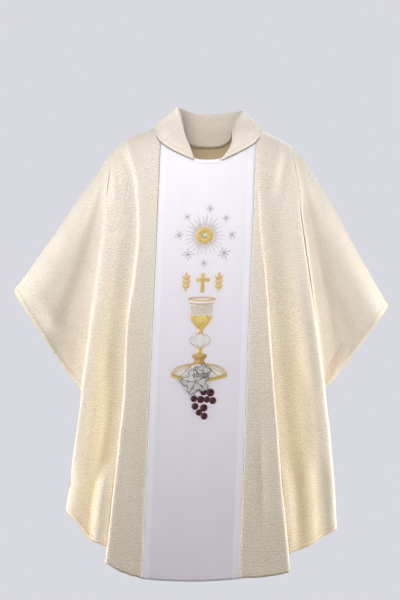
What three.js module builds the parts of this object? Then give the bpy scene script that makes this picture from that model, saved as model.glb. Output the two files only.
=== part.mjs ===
// Chasuble: a wide, sleeveless church vestment as it hangs on the shoulders, arms held low to the sides.
// Millimetres. +Z up, -Y front, +X to the right of someone facing the front.
// The origin is the point midway between the two places where the collar meets the shoulders.
import * as THREE from "three";

// ---------- driving dimensions ----------
const FRONT_LENGTH = 1172; // neck edge to hem, down the middle of the front
const BACK_LENGTH = 1185; // back of the neck to hem
const CLOTH = 3; // cloth and lining together, as a solid
const SEAM_GAP = 0.5; // air left between two neighbouring pieces

const ORPHREY_WIDTH = 266; // the pale band down the front and the back
const FRONT_LEAN = 2.15; // degrees the front hangs off plumb
const NECK_CENTRE = 8; // middle of the neck opening, from the origin
const NECK_HALF = 72; // half the width of the neck opening
const NECK_DROP = 78; // depth of the neck opening at the front
const BACK_NECK_DROP = 26;

const SHOULDER_SLOPE = 12; // degrees
const SHOULDER_START = 75; // where the shoulder line starts, from the middle
const SHOULDER_HALF = 251; // from the middle to the point of the shoulder
const SHOULDER_SOFTNESS = 16; // how roundly the shoulder turns into the arm

// Each side: the arm's drop below level, how far out the cuff corner is, and the free edge below it.
const LEFT = {
  sign: -1,
  armDrop: 55.6,
  cuffOut: 535,
  edgeLength: 336,
  edgeDrop: 55.4,
  innerFoldTop: 185,
  innerFoldFoot: 280,
  innerFoldRise: 44,
  outerFoldFoot: 398,
  outerFoldRise: 194,
  innerBow: -18,
  outerBow: 0,
};
const RIGHT = {
  sign: 1,
  armDrop: 59.8,
  cuffOut: 512,
  edgeLength: 286,
  edgeDrop: 53.4,
  innerFoldTop: 152,
  innerFoldFoot: 238,
  innerFoldRise: 24,
  outerFoldFoot: 372,
  outerFoldRise: 146,
  innerBow: 0,
  outerBow: 13,
};

const CHEST_DEPTH = 101; // from the shoulder line forward to the front
const FRONT_FLARE = 0.071; // extra depth per millimetre down the front
const SHOULDER_ROUND = 150; // height over which the cloth comes forward over the shoulder
const ARM_ROUND = 165; // the same, over the arm

const COLLAR_RISE = 72; // height of the collar's roll above the shoulder line
const COLLAR_HALF = 89; // half the width of the roll at the sides of the neck
const COLLAR_END_Z = -66; // where the two collar ends stop at the front
const COLLAR_END_HALF = 37; // half the gap between the two collar ends
const COLLAR_SPREAD = 154; // how far out the collar's outer edge reaches
const COLLAR_FALL = 34; // how far below the shoulder line it reaches at the back
const COLLAR_CLOTH = 2.4;
const BINDING_WIDTH = 9;

const THREAD = 0.8; // height of the embroidery
const LIFT = 0.35; // air between the cloth and the embroidery

const HOST_Z = -288;
const HOST_RADIUS = 23.5;
const HOST_CORE = 8.6;
const RAY_COUNT = 32;
const RAY_REACH = 58;
const STAR_COUNT = 8;
const STAR_RING = 75;
const STAR_REACH = 12.5;
const MOTIF_Z = -420;
const MOTIF_HEIGHT = 50;
const MOTIF_PITCH = 45;
const CUP_TOP = -460;
const CUP_WIDTH = 70;
const FOOT_WIDTH = 154;
const GRAPE_RADIUS = 7.6;

// ---------- colours ----------
const CREAM = 0xe6dac6;
const COLLAR_CREAM = 0xeae0d4;
const WHITE = 0xe9e7ee;
const GOLD = 0xc79a45;
const SILVER = 0xc9c6c0;
const GREY = 0xa9a6a0;
const WINE = 0x5a1526;

const group = new THREE.Group();
group.name = "chasuble";
const rad = (degrees) => (degrees * Math.PI) / 180;
const mix = (a, b, k) => a + (b - a) * k;
const ease = (k) => k * k * (3 - 2 * k);

function add(name, geometry, color, roughness, metalness) {
  geometry.computeVertexNormals();
  const mesh = new THREE.Mesh(geometry, new THREE.MeshStandardMaterial({ color, roughness, metalness }));
  mesh.name = name;
  group.add(mesh);
}

// ---------- a sheet of cloth as a closed solid ----------
// point(i, j) gives the middle of the sheet. Along a seam the thickness must not lean into the next piece:
// seam(i, j) names the axis that leads across the seam there.
function sheet(columns, rows, point, seam, thickness) {
  const at = [];
  for (let i = 0; i <= columns; i += 1) {
    at.push([]);
    for (let j = 0; j <= rows; j += 1) {
      at[i].push(point(i, j));
    }
  }
  const positions = [];
  const index = [];
  const id = (i, j, side) => (i * (rows + 1) + j) * 2 + side;
  for (let i = 0; i <= columns; i += 1) {
    for (let j = 0; j <= rows; j += 1) {
      const a = at[Math.min(i + 1, columns)][j].clone().sub(at[Math.max(i - 1, 0)][j]);
      const b = at[i][Math.min(j + 1, rows)].clone().sub(at[i][Math.max(j - 1, 0)]);
      const n = a.cross(b).normalize();
      for (const axis of seam ? seam(i, j) : []) {
        n[axis] = 0;
      }
      n.normalize();
      for (const side of [0.5, -0.5]) {
        const p = at[i][j].clone().addScaledVector(n, side * thickness);
        positions.push(p.x, p.y, p.z);
      }
    }
  }
  const quad = (a, b, c, d) => index.push(a, b, c, a, c, d);
  for (let i = 0; i < columns; i += 1) {
    for (let j = 0; j < rows; j += 1) {
      quad(id(i, j, 0), id(i + 1, j, 0), id(i + 1, j + 1, 0), id(i, j + 1, 0));
      quad(id(i, j, 1), id(i, j + 1, 1), id(i + 1, j + 1, 1), id(i + 1, j, 1));
    }
    quad(id(i, 0, 0), id(i, 0, 1), id(i + 1, 0, 1), id(i + 1, 0, 0));
    quad(id(i, rows, 0), id(i + 1, rows, 0), id(i + 1, rows, 1), id(i, rows, 1));
  }
  for (let j = 0; j < rows; j += 1) {
    quad(id(0, j, 0), id(0, j + 1, 0), id(0, j + 1, 1), id(0, j, 1));
    quad(id(columns, j, 0), id(columns, j, 1), id(columns, j + 1, 1), id(columns, j + 1, 0));
  }
  const geometry = new THREE.BufferGeometry();
  geometry.setAttribute("position", new THREE.Float32BufferAttribute(positions, 3));
  geometry.setIndex(index);
  return geometry;
}

// Faces outward whichever way the sheet was laid.
function outward(geometry) {
  const p = geometry.attributes.position;
  const index = geometry.index.array;
  let volume = 0;
  const [a, b, c] = [new THREE.Vector3(), new THREE.Vector3(), new THREE.Vector3()];
  for (let k = 0; k < index.length; k += 3) {
    a.fromBufferAttribute(p, index[k]);
    b.fromBufferAttribute(p, index[k + 1]);
    c.fromBufferAttribute(p, index[k + 2]);
    volume += a.dot(b.cross(c));
  }
  if (volume < 0) {
    for (let k = 0; k < index.length; k += 3) {
      [index[k], index[k + 1]] = [index[k + 1], index[k]];
    }
  }
  return geometry;
}

// ---------- the hanging shape ----------
// Height of the shoulder and arm line, at a distance out from the middle.
function topLine(side, out) {
  const slope = Math.tan(rad(SHOULDER_SLOPE));
  const steep = Math.tan(rad(side.armDrop)) - slope;
  const k = (out - SHOULDER_HALF) / SHOULDER_SOFTNESS;
  const turn = k > 30 ? k : Math.log(1 + Math.exp(k));
  return -Math.max(0, out - SHOULDER_START) * slope - turn * SHOULDER_SOFTNESS * steep;
}

// How far the cloth has come forward over the shoulder or arm, 0 to 1.
function forward(fall, round) {
  const k = Math.min(1, Math.max(0, fall / round));
  return 1 - (1 - k) ** 3;
}

const lean = Math.tan(rad(FRONT_LEAN));
const hemFront = -NECK_DROP - FRONT_LENGTH;
const hemBack = -BACK_NECK_DROP - BACK_LENGTH;
const bandCentre = (z, front = true) => NECK_CENTRE + (front ? lean * (z + NECK_DROP) : 0);

// The fold lines of one quarter of the garment, from the band's seam round to the arm.
// top: distance out on the shoulder line; foot: where the line ends; depth and flare: how far forward it lies.
function foldLines(side, front) {
  const hem = front ? hemFront : hemBack;
  const seamTop = side.sign * bandCentre(0, front) + ORPHREY_WIDTH / 2;
  const seamFoot = side.sign * bandCentre(hem, front) + ORPHREY_WIDTH / 2;
  const cuff = [side.cuffOut, topLine(side, side.cuffOut)];
  const edge = (k) => [
    cuff[0] - Math.cos(rad(side.edgeDrop)) * side.edgeLength * k,
    cuff[1] - Math.sin(rad(side.edgeDrop)) * side.edgeLength * k,
  ];
  const notch = edge(1);
  const inner = front ? side.innerFoldFoot : side.innerFoldFoot - 24;
  const outer = front ? side.outerFoldFoot : side.outerFoldFoot - 45;
  const corner = [outer, hem + side.outerFoldRise];
  const innerTop = front ? side.innerFoldTop : seamTop + 34;
  const apex = SHOULDER_HALF - 11;
  const lines = [
    { top: seamTop, foot: [seamFoot, hem + 7], depth: CHEST_DEPTH, flare: FRONT_FLARE, bow: 0 },
    { top: innerTop, foot: [inner, hem + side.innerFoldRise], depth: 100, flare: 0.085, bow: side.innerBow },
    { top: innerTop + 8, foot: [inner + 4, hem + side.innerFoldRise + 48], depth: 98, flare: 0.034,
      bow: side.innerBow },
    { top: mix(innerTop, apex, 0.55), foot: [mix(inner, outer, 0.42), mix(hem + side.innerFoldRise, corner[1], 0.6)],
      depth: 96, flare: 0.02, bow: side.innerBow * 0.6 },
    { top: apex, foot: corner, depth: 82, flare: 0.078, bow: side.outerBow },
    { top: apex + 6, foot: [mix(outer, notch[0], 0.35), mix(corner[1], notch[1], 0.35)], depth: 76, flare: 0.012,
      bow: side.outerBow * 0.9 },
    { top: apex + 10, foot: [mix(outer, notch[0], 0.75), mix(corner[1], notch[1], 0.75)], depth: 68, flare: -0.05,
      bow: side.outerBow * 0.7 },
    { top: apex + 13, foot: notch, depth: 62, flare: -0.045, bow: side.outerBow * 0.5 },
    { top: apex + 17, foot: edge(0.62), depth: 60, flare: -0.02, bow: 0 },
    { top: apex + 21, foot: edge(0.34), depth: 58, flare: 0, bow: 0 },
    { top: apex + 25, foot: edge(0.15), depth: 58, flare: 0, bow: 0 },
    { top: apex + 29, foot: edge(0.05), depth: 58, flare: 0, bow: 0 },
    { top: apex + 33, foot: cuff, depth: 58, flare: 0, bow: 0, onArm: true },
  ];
  return lines;
}

const STEPS = [3, 1, 2, 3, 1, 1, 1, 2, 1, 1, 1, 1];
const ROWS = 20;

function panel(side, front) {
  const lines = foldLines(side, front);
  const columns = [];
  lines.slice(0, -1).forEach((line, n) => {
    for (let k = 0; k < STEPS[n]; k += 1) {
      columns.push([n, k / STEPS[n]]);
    }
  });
  columns.push([lines.length - 2, 1]);
  const last = columns.length - 1;
  const facing = front ? -1 : 1;
  const point = (i, j) => {
    const [n, k] = columns[i];
    const [a, b] = [lines[n], lines[n + 1]];
    const down = (j / ROWS) ** 1.25;
    const top = mix(a.top, b.top, k);
    const foot = [mix(a.foot[0], b.foot[0], k), mix(a.foot[1], b.foot[1], k)];
    const bow = mix(a.bow, b.bow, k) * Math.sin(Math.PI * down);
    const straight = mix(top, foot[0], down) + bow;
    const z = i === last ? topLine(side, straight) : mix(topLine(side, top), foot[1], down);
    const bandEdge = side.sign * bandCentre(z, front) + ORPHREY_WIDTH / 2;
    const out = i === 0 ? bandEdge + SEAM_GAP / 2 : straight;
    const fall = Math.max(0, topLine(side, out) - z);
    const round = mix(SHOULDER_ROUND, ARM_ROUND, n / lines.length);
    const deep = mix(a.depth - a.flare * z, b.depth - b.flare * z, ease(k));
    return new THREE.Vector3(side.sign * out, facing * (SEAM_GAP / 2 + 0.3 + deep * forward(fall, round)), z);
  };
  const seam = (i, j) => [...(i === 0 ? ["x"] : []), ...(j === 0 || i === last ? ["y"] : [])];
  return outward(sheet(last, ROWS, point, seam, CLOTH));
}

// The pale band down the middle, cut out round the neck.
const BAND_COLUMNS = [-133, -110, -90, -74, -71, -64, -48, -25, 0, 25, 48, 64, 71, 74, 90, 110, 133];

function band(front) {
  const facing = front ? -1 : 1;
  const hem = front ? hemFront : hemBack;
  const drop = front ? NECK_DROP : BACK_NECK_DROP;
  const columns = BAND_COLUMNS.length - 1;
  const point = (i, j) => {
    const across = (BAND_COLUMNS[i] * (ORPHREY_WIDTH / 2 - (i % columns === 0 ? SEAM_GAP / 2 : 0))) / 133;
    const side = NECK_CENTRE + across < 0 ? LEFT : RIGHT;
    const k = Math.abs(across) / NECK_HALF;
    const shoulder = topLine(side, Math.abs(NECK_CENTRE + across));
    const top = k < 1 ? Math.min(shoulder, -drop * (1 - k ** 3) ** (1 / 3)) : shoulder;
    const foot = hem + 7 * (across / 133) ** 2;
    const z = mix(top, foot, (j / ROWS) ** 1.25);
    const x = across + bandCentre(z, front);
    const deep = CHEST_DEPTH - FRONT_FLARE * z;
    return new THREE.Vector3(x, facing * (SEAM_GAP / 2 + 0.3 + deep * forward(shoulder - z, SHOULDER_ROUND)), z);
  };
  const atSide = (i) => i % columns === 0;
  const seam = (i, j) => [
    ...(atSide(i) ? ["x"] : []),
    ...(j === 0 && Math.abs(BAND_COLUMNS[i]) > NECK_HALF ? ["y"] : []),
  ];
  return outward(sheet(columns, ROWS, point, seam, CLOTH));
}

add("front_orphrey", band(true), WHITE, 0.45, 0);
add("front_left_panel", panel(LEFT, true), CREAM, 0.7, 0);
add("front_right_panel", panel(RIGHT, true), CREAM, 0.7, 0);
add("back_orphrey", band(false), WHITE, 0.45, 0);
add("back_left_panel", panel(LEFT, false), CREAM, 0.7, 0);
add("back_right_panel", panel(RIGHT, false), CREAM, 0.7, 0);

// ---------- the collar: a stand that rises from the neck edge and a fall that turns down over it ----------
const v = (x, y, z) => new THREE.Vector3(x, y, z);
const END_TURN = Math.PI - Math.asin((COLLAR_END_HALF - 4) / NECK_HALF);

// The neck edge, from the back (w = 0) round the side to the front end of the collar (w = 1).
function neckEdge(w) {
  const turn = w * END_TURN;
  const across = NECK_HALF * Math.sin(turn);
  const front = turn > Math.PI / 2;
  const z = -(front ? NECK_DROP : BACK_NECK_DROP) * (1 - (across / NECK_HALF) ** 3) ** (1 / 3);
  const deep = (CHEST_DEPTH - FRONT_FLARE * z) * forward(-z, SHOULDER_ROUND);
  return v(across, front ? -deep : deep, z + 3);
}

const rollHalf = new THREE.CatmullRomCurve3([
  v(0, 76, COLLAR_RISE - 6),
  v(COLLAR_HALF * 0.7, 58, COLLAR_RISE - 2),
  v(COLLAR_HALF, 2, COLLAR_RISE),
  v(mix(COLLAR_HALF, COLLAR_END_HALF, 0.5), -58, mix(COLLAR_RISE, COLLAR_END_Z, 0.5)),
  v(COLLAR_END_HALF, -99, COLLAR_END_Z),
]);
const outerHalf = new THREE.CatmullRomCurve3([
  v(0, 112, -COLLAR_FALL),
  v(COLLAR_SPREAD * 0.66, 92, -COLLAR_FALL * 0.75),
  v(COLLAR_SPREAD, 10, 0),
  v(COLLAR_SPREAD * 0.87, -52, mix(0, COLLAR_END_Z, 0.42)),
  v(COLLAR_END_HALF + 5, -104, COLLAR_END_Z - 9),
]);
const COLLAR_COLUMNS = 40;
const COLLAR_ROWS = 5;

// One leaf of the collar, between two lines that run from the back round to the front on both sides.
function leaf(from, to, bulge) {
  const point = (i, j) => {
    const across = (2 * i) / COLLAR_COLUMNS - 1;
    const w = Math.abs(across);
    const k = j / COLLAR_ROWS;
    const [a, b] = [from(w), to(w)];
    const p = a.clone().lerp(b, k);
    const away = v(p.x, p.y + 10, 0).normalize();
    p.addScaledVector(away, bulge * Math.sin(Math.PI * k) * (1 - w ** 4));
    return v(NECK_CENTRE + Math.sign(across) * p.x, p.y, p.z);
  };
  return outward(sheet(COLLAR_COLUMNS, COLLAR_ROWS, point, null, COLLAR_CLOTH));
}

const inward = (p, by) => {
  const away = v(p.x, p.y + 10, 0).normalize();
  return p.clone().addScaledVector(away, -by);
};
add("collar_fall", leaf((w) => inward(rollHalf.getPoint(w), -2.4), (w) => outerHalf.getPoint(w), 7),
  COLLAR_CREAM, 0.7, 0);
add("collar_stand", leaf((w) => inward(rollHalf.getPoint(w), 2.4), (w) => inward(neckEdge(w), 5), -2),
  COLLAR_CREAM, 0.7, 0);

// ---------- pieces sewn on the flat of the front band ----------
// s runs across from the band's middle line, z is the height, lift is how far off the cloth.
function onBand(s, z, lift) {
  const deep = SEAM_GAP / 2 + 0.3 + CHEST_DEPTH - FRONT_FLARE * z;
  return v(bandCentre(z) + s, -deep - CLOTH / 2 - LIFT - lift, z);
}

function sewn(shape, lift, height, segments) {
  const geometry = new THREE.ExtrudeGeometry(shape, { depth: height, bevelEnabled: false, curveSegments: segments });
  const p = geometry.attributes.position;
  for (let i = 0; i < p.count; i += 1) {
    const q = onBand(p.getX(i), p.getY(i), lift + p.getZ(i));
    p.setXYZ(i, q.x, q.y, q.z);
  }
  return outward(geometry.index ? geometry : indexed(geometry));
}

function indexed(geometry) {
  geometry.deleteAttribute("normal");
  geometry.deleteAttribute("uv");
  const found = new Map();
  const positions = [];
  const index = [];
  const p = geometry.attributes.position;
  for (let i = 0; i < p.count; i += 1) {
    const key = [p.getX(i), p.getY(i), p.getZ(i)].map((n) => Math.round(n * 1e4)).join();
    if (!found.has(key)) {
      found.set(key, positions.length / 3);
      positions.push(p.getX(i), p.getY(i), p.getZ(i));
    }
    index.push(found.get(key));
  }
  const welded = new THREE.BufferGeometry();
  welded.setAttribute("position", new THREE.Float32BufferAttribute(positions, 3));
  welded.setIndex(index);
  return welded;
}

// Leaves out triangles that have closed up to a line.
function solidOnly(geometry) {
  const index = Array.from(geometry.index.array);
  const kept = [];
  for (let k = 0; k < index.length; k += 3) {
    const [a, b, c] = index.slice(k, k + 3);
    if (a !== b && b !== c && a !== c) {
      kept.push(a, b, c);
    }
  }
  geometry.setIndex(kept);
  return geometry;
}

const polar = (s, z, radius, angle) => [s + radius * Math.cos(angle), z + radius * Math.sin(angle)];
const shapeOf = (points) => new THREE.Shape(points.map(([x, y]) => new THREE.Vector2(x, y)));
const oval = (s, z, a, b) => {
  const shape = new THREE.Shape();
  shape.absellipse(s, z, a, b, 0, Math.PI * 2);
  return shape;
};
// An outline given by its half width at each height, from top to bottom.
const turned = (s, heights, half) => shapeOf([
  ...heights.map((z) => [s - half(z), z]),
  ...heights.toReversed().map((z) => [s + half(z), z]),
]);
const steps = (from, to, count) => Array.from({ length: count + 1 }, (_, i) => mix(from, to, i / count));

// Neck binding: the white edge seen between the two collar ends.
function bindingPoint(i, j) {
  const across = mix(-1, 1, i / 10) * (COLLAR_END_HALF - 8);
  const edge = -NECK_DROP * (1 - (Math.abs(across) / NECK_HALF) ** 3) ** (1 / 3);
  const z = edge - 1 - (BINDING_WIDTH * j) / 2;
  const shoulder = topLine(RIGHT, Math.abs(bandCentre(z) + across));
  const deep = (CHEST_DEPTH - FRONT_FLARE * z) * forward(shoulder - z, SHOULDER_ROUND);
  return v(bandCentre(z) + across, -deep - SEAM_GAP - CLOTH / 2 - 1.6, z);
}
add("neck_binding", outward(sheet(10, 2, bindingPoint, null, 1.2)), WHITE, 0.5, 0);

// The host in its ring of rays, with a ring of stars.
add("host_disc", sewn(oval(0, HOST_Z, HOST_CORE, HOST_CORE), 0, THREAD, 12), SILVER, 0.5, 0.3);
const ring = oval(0, HOST_Z, HOST_RADIUS, HOST_RADIUS);
ring.holes.push(oval(0, HOST_Z, HOST_CORE + 0.8, HOST_CORE + 0.8));
add("host_ring", sewn(ring, 0, THREAD, 16), GOLD, 0.4, 0.6);

const rays = [];
for (let i = 0; i < RAY_COUNT; i += 1) {
  const middle = (i / RAY_COUNT) * Math.PI * 2;
  const reach = i % 2 ? RAY_REACH * 0.8 : RAY_REACH;
  const base = HOST_RADIUS + 3;
  rays.push(polar(0, HOST_Z, base, middle - 0.045), polar(0, HOST_Z, reach, middle - 0.009));
  rays.push(polar(0, HOST_Z, reach, middle + 0.009), polar(0, HOST_Z, base, middle + 0.045));
}
const burst = shapeOf(rays);
burst.holes.push(oval(0, HOST_Z, HOST_RADIUS + 0.8, HOST_RADIUS + 0.8));
add("ray_burst", sewn(burst, 0, THREAD * 0.7, 16), SILVER, 0.4, 0.5);

for (let i = 0; i < STAR_COUNT; i += 1) {
  const [s, z] = polar(0, HOST_Z, STAR_RING, ((i + 0.1) / STAR_COUNT) * Math.PI * 2);
  const arms = [];
  for (let k = 0; k < 8; k += 1) {
    const middle = (k / 8) * Math.PI * 2 + Math.PI / 2;
    const reach = k % 2 ? STAR_REACH * 0.75 : STAR_REACH;
    arms.push(polar(s, z, reach, middle - 0.05), polar(s, z, reach, middle + 0.05));
    arms.push(polar(s, z, 2, middle + Math.PI / 8));
  }
  add(`star_${i + 1}`, sewn(shapeOf(arms), 0, THREAD * 0.7, 4), SILVER, 0.4, 0.5);
}

// A cross between two ears of wheat.
const halfMotif = MOTIF_HEIGHT / 2;
for (const [name, s] of [["wheat_ear_left", -MOTIF_PITCH], ["wheat_ear_right", MOTIF_PITCH]]) {
  const heights = steps(MOTIF_Z + halfMotif, MOTIF_Z - halfMotif, 30);
  const half = (z) => {
    const k = (MOTIF_Z + halfMotif - z) / MOTIF_HEIGHT;
    const grain = Math.abs(Math.sin(k * Math.PI * 6.5));
    return k > 0.8 ? 1.8 : 1 + 10.5 * Math.sin(Math.PI * Math.min(1, k / 0.82)) ** 0.7 * (0.6 + 0.4 * grain);
  };
  add(name, sewn(turned(s, heights, half), 0, THREAD, 4), GOLD, 0.4, 0.6);
}
const [crossArm, crossHalf, crossAt] = [4.6, 17, MOTIF_Z + 7];
add("small_cross", sewn(shapeOf([
  [-crossArm, MOTIF_Z + halfMotif],
  [-crossArm, crossAt + crossArm],
  [-crossHalf, crossAt + crossArm],
  [-crossHalf, crossAt - crossArm],
  [-crossArm, crossAt - crossArm],
  [-crossArm, MOTIF_Z - halfMotif],
  [crossArm, MOTIF_Z - halfMotif],
  [crossArm, crossAt - crossArm],
  [crossHalf, crossAt - crossArm],
  [crossHalf, crossAt + crossArm],
  [crossArm, crossAt + crossArm],
  [crossArm, MOTIF_Z + halfMotif],
]), 0, THREAD, 4), GOLD, 0.4, 0.6);

// The cup, from its rim down to its foot.
const cupHalf = CUP_WIDTH / 2;
const rim = oval(0, CUP_TOP - 5, cupHalf, 6);
rim.holes.push(oval(0, CUP_TOP - 5, cupHalf - 2.6, 3.6));
add("cup_rim", sewn(rim, 0, THREAD, 16), GOLD, 0.4, 0.6);

const bowlTop = CUP_TOP - 12;
const bowlFoot = CUP_TOP - 58;
const calyxFoot = CUP_TOP - 100;
add("cup_bowl", sewn(turned(0, steps(bowlTop, bowlFoot, 6), (z) => mix(cupHalf - 2, cupHalf - 6,
  (bowlTop - z) / 46)), 0, THREAD, 4), SILVER, 0.5, 0.4);
add("cup_calyx", sewn(turned(0, steps(bowlFoot - 1, calyxFoot, 8), (z) => {
  const k = (bowlFoot - z) / (bowlFoot - calyxFoot);
  return mix(cupHalf - 6, 5, k ** 1.6);
}), 0, THREAD, 4), GOLD, 0.4, 0.6);
add("cup_stem_upper", sewn(turned(0, [calyxFoot - 1, calyxFoot - 6], () => 5), 0, THREAD, 4), GOLD, 0.4, 0.6);
add("cup_knop", sewn(oval(0, calyxFoot - 20, 22, 12.5), 0, THREAD, 12), SILVER, 0.5, 0.3);
const stemTop = calyxFoot - 33.5;
add("cup_stem_lower", sewn(turned(0, steps(stemTop, stemTop - 28, 4), (z) => mix(5, 7,
  (stemTop - z) / 28)), 0, THREAD, 4), GOLD, 0.4, 0.6);
const collarTop = stemTop - 29;
add("cup_collar", sewn(turned(0, steps(collarTop, collarTop - 24, 4), (z) => mix(9, 18,
  ((collarTop - z) / 24) ** 2)), 0, THREAD, 4), GOLD, 0.45, 0.5);
const footTop = collarTop - 25;
const footHalf = FOOT_WIDTH / 2;
const arc = (k, below) => [k * footHalf, footTop - 38 - below + 16 * k * k];
add("cup_foot", sewn(shapeOf([
  [-20, footTop],
  [-46, footTop - 5],
  [-footHalf * 0.93, footTop - 19],
  ...steps(-0.93, 0.93, 16).map((k) => arc(k, -1)),
  [footHalf * 0.93, footTop - 19],
  [46, footTop - 5],
  [20, footTop],
]), 0, THREAD, 4), SILVER, 0.5, 0.3);
add("cup_foot_rim", sewn(shapeOf([
  ...steps(-1, 1, 24).map((k) => arc(k, 0)),
  ...steps(1, -1, 24).map((k) => arc(k, 6 - 3 * k * k)),
]), 0, THREAD, 4), GOLD, 0.4, 0.6);

// A vine leaf laid over the foot, and the bunch of grapes below it.
const LEAF_Z = footTop - 36;
const lobes = Array.from({ length: 50 }, (_, i) => {
  const turn = (i / 50) * Math.PI * 2 + Math.PI / 2;
  const lobe = 0.68 + 0.32 * Math.abs(Math.cos((turn - Math.PI / 2) * 2.5));
  return [-2 + 50 * lobe * Math.cos(turn), LEAF_Z + 35 * lobe * Math.sin(turn)];
});
add("vine_leaf", sewn(shapeOf(lobes), THREAD + 0.4, THREAD, 4), GREY, 0.55, 0.1);

const GRAPES_Z = LEAF_Z - 44;
const ROWS_OF_GRAPES = [[18, 39], [-9, 9.5, 28, 46.5], [1, 22], [11], [24]];
let grapeNumber = 0;
ROWS_OF_GRAPES.forEach((row, n) => {
  for (const s of row) {
    grapeNumber += 1;
    const centre = [s, GRAPES_Z - 18.5 * n + (n === 4 ? 3 : 0)];
    const profile = [[0, 0], [1, 0], [0.9, 0.42], [0.6, 0.8], [0, 1]];
    const dome = new THREE.LatheGeometry(profile.map(([r, h]) => new THREE.Vector2(r * GRAPE_RADIUS, h * 3.2)), 14);
    dome.rotateX(Math.PI / 2);
    const welded = indexed(dome.toNonIndexed());
    const p = welded.attributes.position;
    for (let i = 0; i < p.count; i += 1) {
      const q = onBand(centre[0] + p.getX(i), centre[1] - p.getY(i), p.getZ(i));
      p.setXYZ(i, q.x, q.y, q.z);
    }
    add(`grape_${grapeNumber}`, outward(solidOnly(welded)), WINE, 0.4, 0);
  }
});

export default group;
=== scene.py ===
"""Chasuble: a wide church vestment as it hangs on the shoulders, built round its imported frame."""

import contextlib
import math

import bpy
import numpy as np
from bpy.props import FloatProperty, FloatVectorProperty, IntProperty, PointerProperty
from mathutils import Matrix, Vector


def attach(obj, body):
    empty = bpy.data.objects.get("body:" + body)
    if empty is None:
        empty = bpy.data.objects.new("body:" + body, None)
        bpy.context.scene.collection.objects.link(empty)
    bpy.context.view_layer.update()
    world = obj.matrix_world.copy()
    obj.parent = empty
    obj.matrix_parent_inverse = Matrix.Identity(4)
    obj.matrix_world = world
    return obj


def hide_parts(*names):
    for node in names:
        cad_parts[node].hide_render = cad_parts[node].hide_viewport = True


bl_info = {
    "name": "Chasuble",
    "version": (1, 0, 0),
    "blender": (4, 5, 0),
    "location": "3D View > Sidebar > Chasuble",
    "description": "Builds a draped chasuble: panels, bands, collar and embroidery",
    "category": "Object",
}

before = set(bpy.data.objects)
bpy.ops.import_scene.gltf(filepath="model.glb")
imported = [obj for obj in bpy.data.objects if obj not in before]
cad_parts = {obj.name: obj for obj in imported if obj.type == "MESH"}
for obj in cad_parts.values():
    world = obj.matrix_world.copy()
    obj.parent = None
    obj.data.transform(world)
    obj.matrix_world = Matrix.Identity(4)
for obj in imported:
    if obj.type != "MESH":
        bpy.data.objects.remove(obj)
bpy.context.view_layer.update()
MM = 0.001
FRONT, BACK = -1, 1

# ---------------------------------------------------------------- sizes, in millimetres
CHEST_DEPTH = 101
FLARE = 0.071
SHOULDER_ROUND = 150
HALF_BAND = 133
NECK_CENTRE = 7.6
NECK_HALF = 72
NECK_DROP = {FRONT: 78, BACK: 26}
HEM = {FRONT: -1242, BACK: -1205}
LEAN = 0.0416
CLOTH = 1.1
BINDING = 10.5
SMOOTH_ANGLE = math.radians(40)
BINDING_HALF = 34  # half its length along the neck opening
OUTSIDE = 0.55  # from the middle of the cloth to its outside
STAGE_Z = -1.6
# Laid flat, degrees from the band's seam to the arm line. It is assumed, not measured: 79 was estimated first, but the
# folds under the arms hold too little cloth for it. The sheets' area rule allows 69 and stops the script at 72.
FLAT_TURN = 66

# Where the embroidery lies: across from the band's middle line, and the height.
HOST_Z = -288
RAYS = 52
STARS = ((13, -214, 13, 0.2), (-50, -237, 11.5, 0.5), (58, -240, 12, 0.1), (-71, -288, 15, 0.3),
         (76, -287, 13, 0.7), (-44, -342, 17, 0.1), (56, -338, 19, 0.4), (1, -366, 13, 0.2))
MOTIF_Z = -420
GRAPES = ((15, -722, 9.8), (34, -724, 11), (-11, -741, 9.4), (8, -743, 10.2), (25, -743, 9), (41.5, -746, 9.8),
          (-7, -762, 9.6), (17.5, -766, 10.4), (4.5, -779, 9), (19.5, -789, 9.6))
KNOP_Z, KNOP_WIDE, KNOP_HIGH = -580, 27, 18.5
CAMERA_DISTANCE = 6.0
VIEW_HALF_HEIGHT = 0.84  # metres seen above and below the middle
WORLD_FILL = 0.10
LIGHTS = (
    ("key", (-0.15, -1.1, 0.38), (0, -0.1, -0.2), 0.7, 9.9, (1, 0.985, 0.99)),
    ("top", (-0.1, -0.35, 1.7), (0, 0, 0), 1.1, 9, (1, 0.99, 0.985)),
    ("left_soft", (-2.1, -0.6, -0.6), (0, 0, -0.6), 1.5, 21.5, (1, 0.995, 0.985)),
    ("right_soft", (2.1, -0.6, -0.6), (0, 0, -0.6), 1.5, 22.5, (1, 0.995, 0.985)),
    ("left_low", (-1.25, -0.38, -1.0), (-0.3, -0.1, -0.85), 0.7, 11, (1, 0.995, 0.985)),
    ("right_low", (1.25, -0.38, -1.0), (0.3, -0.1, -0.85), 0.7, 12, (1, 0.995, 0.985)),
    ("left_rim", (-2.2, 0.2, -0.5), (-0.3, 0, -0.6), 1.2, 12, (1, 1, 1)),
    ("right_rim", (2.2, 0.2, -0.5), (0.3, 0, -0.6), 1.2, 11, (1, 1, 1)),
    ("back_key", (0.4, 2.3, 1.3), (0, 0.1, -0.4), 1.4, 30, (1, 1, 1)),
)

# The shoulder and arm line: how far out from the middle, and how high.
ARM_OUT_LEFT = (0, 60, 100, 135, 170, 201, 224, 238, 252, 264, 277, 295, 320, 369, 414, 462, 511, 543)
ARM_Z_LEFT = (31, 30, 25, 17.5, 8.7, -2.6, -14, -25, -38, -49, -63, -93, -127, -196, -264, -332, -400, -441)
ARM_OUT_RIGHT = (0, 60, 100, 135, 170, 195, 219, 236, 250, 262, 278, 298, 318, 341, 378, 415, 452, 489, 521)
ARM_Z_RIGHT = (31, 30, 25, 17.5, 8.7, -3, -14, -25, -37, -49, -64, -94, -128, -162, -228, -298, -366, -430, -482)

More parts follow.
